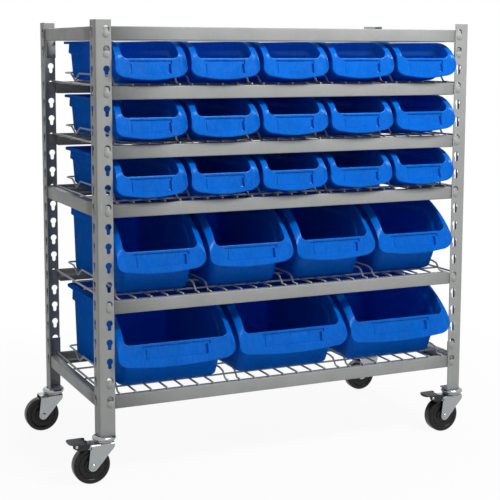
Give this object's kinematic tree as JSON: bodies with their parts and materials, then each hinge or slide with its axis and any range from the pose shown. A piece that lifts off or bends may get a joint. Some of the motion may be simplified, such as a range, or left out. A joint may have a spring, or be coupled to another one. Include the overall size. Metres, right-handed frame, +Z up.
{
  "type": "mobile bin cart",
  "caption": "Wheeled keyhole rack with wire decks holding rows of pull-out hopper bins in small, medium and large sizes, on swivel casters with brake pedals in front.",
  "frame": {"origin": "on the floor, under the middle of the corner posts", "axes": "+Z up; the bins open towards -Y and are pulled out along -Y; +X to the right of a person facing the open side"},
  "size_m": [0.9205, 0.4195, 0.9094],
  "materials": {
    "frame_grey": "satin grey powder coat",
    "wire_grey": "satin grey coated wire",
    "bin_blue": "semi-gloss moulded polypropylene",
    "caster_zinc": "bright zinc plate",
    "wheel_black": "hard black rubber",
    "pedal_black": "black painted steel"
  },
  "bodies": {
    "frame": {"beam_back_1": "frame_grey", "beam_back_2": "frame_grey", "beam_back_3": "frame_grey", "beam_back_4": "frame_grey", "beam_back_5": "frame_grey", "beam_back_6": "frame_grey", "beam_front_1": "frame_grey", "beam_front_2": "frame_grey", "beam_front_3": "frame_grey", "beam_front_4": "frame_grey", "beam_front_5": "frame_grey", "beam_front_6": "frame_grey", "beam_left_1": "frame_grey", "beam_left_4": "frame_grey", "beam_left_6": "frame_grey", "beam_right_1": "frame_grey", "beam_right_4": "frame_grey", "beam_right_6": "frame_grey", "post_back_left": "frame_grey", "post_back_right": "frame_grey", "post_front_left": "frame_grey", "post_front_right": "frame_grey", "wire_deck_1": "wire_grey", "wire_deck_2": "wire_grey", "wire_deck_3": "wire_grey", "wire_deck_4": "wire_grey", "wire_deck_5": "wire_grey"},
    "caster_front_left": {"caster_fork_front_left": "caster_zinc"},
    "wheel_front_left": {"wheel_front_left": "wheel_black"},
    "pedal_front_left": {"brake_pedal_front_left": "pedal_black"},
    "caster_front_right": {"caster_fork_front_right": "caster_zinc"},
    "wheel_front_right": {"wheel_front_right": "wheel_black"},
    "pedal_front_right": {"brake_pedal_front_right": "pedal_black"},
    "caster_back_left": {"caster_fork_back_left": "caster_zinc"},
    "wheel_back_left": {"wheel_back_left": "wheel_black"},
    "caster_back_right": {"caster_fork_back_right": "caster_zinc"},
    "wheel_back_right": {"wheel_back_right": "wheel_black"},
    "bin_large_1": {"bin_large_1": "bin_blue"},
    "bin_large_2": {"bin_large_2": "bin_blue"},
    "bin_large_3": {"bin_large_3": "bin_blue"},
    "bin_medium_1": {"bin_medium_1": "bin_blue"},
    "bin_medium_2": {"bin_medium_2": "bin_blue"},
    "bin_medium_3": {"bin_medium_3": "bin_blue"},
    "bin_medium_4": {"bin_medium_4": "bin_blue"},
    "bin_small_1_1": {"bin_small_1_1": "bin_blue"},
    "bin_small_1_2": {"bin_small_1_2": "bin_blue"},
    "bin_small_1_3": {"bin_small_1_3": "bin_blue"},
    "bin_small_1_4": {"bin_small_1_4": "bin_blue"},
    "bin_small_1_5": {"bin_small_1_5": "bin_blue"},
    "bin_small_2_1": {"bin_small_2_1": "bin_blue"},
    "bin_small_2_2": {"bin_small_2_2": "bin_blue"},
    "bin_small_2_3": {"bin_small_2_3": "bin_blue"},
    "bin_small_2_4": {"bin_small_2_4": "bin_blue"},
    "bin_small_2_5": {"bin_small_2_5": "bin_blue"},
    "bin_small_3_1": {"bin_small_3_1": "bin_blue"},
    "bin_small_3_2": {"bin_small_3_2": "bin_blue"},
    "bin_small_3_3": {"bin_small_3_3": "bin_blue"},
    "bin_small_3_4": {"bin_small_3_4": "bin_blue"},
    "bin_small_3_5": {"bin_small_3_5": "bin_blue"}
  },
  "joints": [
    {"name": "swivel_front_left", "type": "hinge", "parent": "frame", "child": "caster_front_left", "pos_m": [-0.4105, -0.1855, 0.0874], "axis": [0, 0, 1], "continuous": true},
    {"name": "roll_front_left", "type": "hinge", "parent": "caster_front_left", "child": "wheel_front_left", "pos_m": [-0.4385, -0.1855, 0.0375], "axis": [0, 1, 0], "continuous": true},
    {"name": "brake_front_left", "type": "hinge", "parent": "caster_front_left", "child": "pedal_front_left", "pos_m": [-0.4725, -0.1855, 0.0825], "axis": [0, 1, 0], "range_deg": [-15, 0]},
    {"name": "swivel_front_right", "type": "hinge", "parent": "frame", "child": "caster_front_right", "pos_m": [0.4105, -0.1855, 0.0874], "axis": [0, 0, 1], "continuous": true},
    {"name": "roll_front_right", "type": "hinge", "parent": "caster_front_right", "child": "wheel_front_right", "pos_m": [0.3825, -0.1855, 0.0375], "axis": [0, 1, 0], "continuous": true},
    {"name": "brake_front_right", "type": "hinge", "parent": "caster_front_right", "child": "pedal_front_right", "pos_m": [0.3485, -0.1855, 0.0825], "axis": [0, 1, 0], "range_deg": [-15, 0]},
    {"name": "swivel_back_left", "type": "hinge", "parent": "frame", "child": "caster_back_left", "pos_m": [-0.4105, 0.1855, 0.0874], "axis": [0, 0, 1], "continuous": true},
    {"name": "roll_back_left", "type": "hinge", "parent": "caster_back_left", "child": "wheel_back_left", "pos_m": [-0.4385, 0.1855, 0.0375], "axis": [0, 1, 0], "continuous": true},
    {"name": "swivel_back_right", "type": "hinge", "parent": "frame", "child": "caster_back_right", "pos_m": [0.4105, 0.1855, 0.0874], "axis": [0, 0, 1], "continuous": true},
    {"name": "roll_back_right", "type": "hinge", "parent": "caster_back_right", "child": "wheel_back_right", "pos_m": [0.3825, 0.1855, 0.0375], "axis": [0, 1, 0], "continuous": true},
    {"name": "pull_large_1", "type": "slide", "parent": "frame", "child": "bin_large_1", "axis": [0, -1, 0], "range_m": [0, 0.4]},
    {"name": "pull_large_2", "type": "slide", "parent": "frame", "child": "bin_large_2", "axis": [0, -1, 0], "range_m": [0, 0.4]},
    {"name": "pull_large_3", "type": "slide", "parent": "frame", "child": "bin_large_3", "axis": [0, -1, 0], "range_m": [0, 0.4]},
    {"name": "pull_medium_1", "type": "slide", "parent": "frame", "child": "bin_medium_1", "axis": [0, -1, 0], "range_m": [0, 0.4]},
    {"name": "pull_medium_2", "type": "slide", "parent": "frame", "child": "bin_medium_2", "axis": [0, -1, 0], "range_m": [0, 0.4]},
    {"name": "pull_medium_3", "type": "slide", "parent": "frame", "child": "bin_medium_3", "axis": [0, -1, 0], "range_m": [0, 0.4]},
    {"name": "pull_medium_4", "type": "slide", "parent": "frame", "child": "bin_medium_4", "axis": [0, -1, 0], "range_m": [0, 0.4]},
    {"name": "pull_small_1_1", "type": "slide", "parent": "frame", "child": "bin_small_1_1", "axis": [0, -1, 0], "range_m": [0, 0.4]},
    {"name": "pull_small_1_2", "type": "slide", "parent": "frame", "child": "bin_small_1_2", "axis": [0, -1, 0], "range_m": [0, 0.4]},
    {"name": "pull_small_1_3", "type": "slide", "parent": "frame", "child": "bin_small_1_3", "axis": [0, -1, 0], "range_m": [0, 0.4]},
    {"name": "pull_small_1_4", "type": "slide", "parent": "frame", "child": "bin_small_1_4", "axis": [0, -1, 0], "range_m": [0, 0.4]},
    {"name": "pull_small_1_5", "type": "slide", "parent": "frame", "child": "bin_small_1_5", "axis": [0, -1, 0], "range_m": [0, 0.4]},
    {"name": "pull_small_2_1", "type": "slide", "parent": "frame", "child": "bin_small_2_1", "axis": [0, -1, 0], "range_m": [0, 0.4]},
    {"name": "pull_small_2_2", "type": "slide", "parent": "frame", "child": "bin_small_2_2", "axis": [0, -1, 0], "range_m": [0, 0.4]},
    {"name": "pull_small_2_3", "type": "slide", "parent": "frame", "child": "bin_small_2_3", "axis": [0, -1, 0], "range_m": [0, 0.4]},
    {"name": "pull_small_2_4", "type": "slide", "parent": "frame", "child": "bin_small_2_4", "axis": [0, -1, 0], "range_m": [0, 0.4]},
    {"name": "pull_small_2_5", "type": "slide", "parent": "frame", "child": "bin_small_2_5", "axis": [0, -1, 0], "range_m": [0, 0.4]},
    {"name": "pull_small_3_1", "type": "slide", "parent": "frame", "child": "bin_small_3_1", "axis": [0, -1, 0], "range_m": [0, 0.4]},
    {"name": "pull_small_3_2", "type": "slide", "parent": "frame", "child": "bin_small_3_2", "axis": [0, -1, 0], "range_m": [0, 0.4]},
    {"name": "pull_small_3_3", "type": "slide", "parent": "frame", "child": "bin_small_3_3", "axis": [0, -1, 0], "range_m": [0, 0.4]},
    {"name": "pull_small_3_4", "type": "slide", "parent": "frame", "child": "bin_small_3_4", "axis": [0, -1, 0], "range_m": [0, 0.4]},
    {"name": "pull_small_3_5", "type": "slide", "parent": "frame", "child": "bin_small_3_5", "axis": [0, -1, 0], "range_m": [0, 0.4]}
  ]
}
